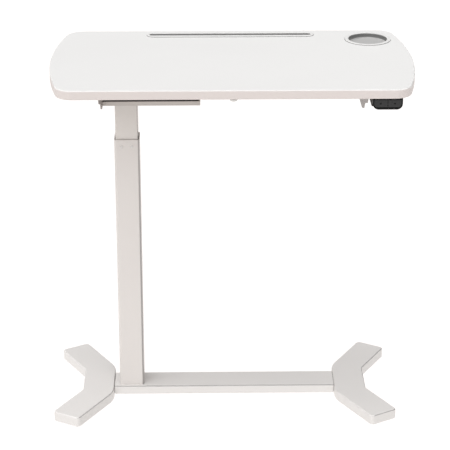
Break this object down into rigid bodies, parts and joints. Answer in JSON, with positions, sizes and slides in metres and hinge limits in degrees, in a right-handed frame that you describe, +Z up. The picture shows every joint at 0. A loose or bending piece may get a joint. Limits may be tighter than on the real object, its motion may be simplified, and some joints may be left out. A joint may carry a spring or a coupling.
{
  "type": "overbed table",
  "caption": "Electric height-adjustable overbed table: offset square column, low beam with V-shaped feet, bowed white top with cup well and tablet slot.",
  "frame": {"origin": "on the floor, under the middle of the object's box", "axes": "+X to the right, along the tabletop's length and away from the column; +Y to the rear, towards the tablet slot; +Z up"},
  "size_m": [0.809, 0.452, 0.817],
  "materials": {
    "white_powder_coat": "satin powder coat",
    "inner_tube_coat": "satin powder coat",
    "steel_plated": "zinc plated",
    "steel_raw": "oiled steel",
    "frame_powder_coat": "satin powder coat",
    "glide_plastic": "moulded",
    "nut_brass": "machined",
    "pad_rubber": "matte",
    "plug_plastic": "moulded",
    "bearing_steel": "ground",
    "gearbox_alloy": "die cast",
    "motor_can": "satin",
    "black_plastic": "fine texture",
    "tabletop_white": "white membrane on fibreboard",
    "edge_white": "white edging",
    "insert_plastic": "moulded, fine texture",
    "circuit_board": "lacquered board",
    "lead_black": "matte sheath",
    "handset_gloss": "gloss",
    "key_grey": "satin"
  },
  "bodies": {
    "base": {"foot_left": "white_powder_coat", "foot_right": "white_powder_coat", "foot_plate_left": "steel_raw", "foot_plate_right": "steel_raw", "floor_pads_left": "pad_rubber", "floor_pads_right": "pad_rubber", "base_beam": "white_powder_coat", "spigot_left": "steel_raw", "spigot_right": "steel_raw", "spigot_screws": "steel_plated", "beam_access_plugs": "plug_plastic", "column_outer": "white_powder_coat", "column_foot_plate": "steel_plated", "column_bolts": "steel_plated", "nut_tube": "steel_raw", "spindle_nut": "nut_brass", "upper_glide": "glide_plastic", "glide_studs": "steel_plated"},
    "lift": {"column_inner": "inner_tube_coat", "lower_glide": "glide_plastic", "column_head_plate": "steel_plated", "head_bolts": "steel_plated", "spindle_bearing": "bearing_steel", "gearbox_housing": "gearbox_alloy", "drive_motor": "motor_can", "motor_tray": "frame_powder_coat", "tray_hanger": "frame_powder_coat", "motor_cover": "black_plastic", "side_arm_left": "frame_powder_coat", "side_arm_right": "frame_powder_coat", "rail_front": "frame_powder_coat", "rail_rear": "frame_powder_coat", "tabletop_board": "tabletop_white", "edge_band": "edge_white", "tablet_slot_insert": "insert_plastic", "cup_insert": "insert_plastic", "front_cover_cap": "plug_plastic", "underside_screws": "steel_plated", "control_box": "black_plastic", "control_box_lid": "black_plastic", "control_board": "circuit_board", "power_inlet": "black_plastic", "motor_lead": "lead_black", "handset_lead": "lead_black", "lead_clips": "plug_plastic", "handset_housing": "handset_gloss", "handset_bezel": "handset_gloss", "handset_board": "circuit_board", "key_switches": "black_plastic"},
    "screw": {"spindle": "steel_raw", "spindle_end_guide": "glide_plastic"},
    "up_key_body": {"up_key": "key_grey"},
    "down_key_body": {"down_key": "key_grey"}
  },
  "joints": [
    {"name": "column_lift", "type": "slide", "parent": "base", "child": "lift", "axis": [0, 0, 1], "range_m": [-0.08, 0.34]},
    {"name": "spindle_turn", "type": "hinge", "parent": "lift", "child": "screw", "pos_m": [-0.23041, 0, 0.6], "axis": [0, 0, 1], "range_deg": [-3600.5, 15300.5]},
    {"name": "up_key_press", "type": "slide", "parent": "lift", "child": "up_key_body", "axis": [0, 1, 0], "range_m": [0, 0.001], "stiffness_N_per_m": 1500, "springref_m": -0.0005},
    {"name": "down_key_press", "type": "slide", "parent": "lift", "child": "down_key_body", "axis": [0, 1, 0], "range_m": [0, 0.001], "stiffness_N_per_m": 1500, "springref_m": -0.0005}
  ],
  "couplings": [
    {"joint": "spindle_turn", "follows": "column_lift", "rad_per_m": 785.4}
  ]
}
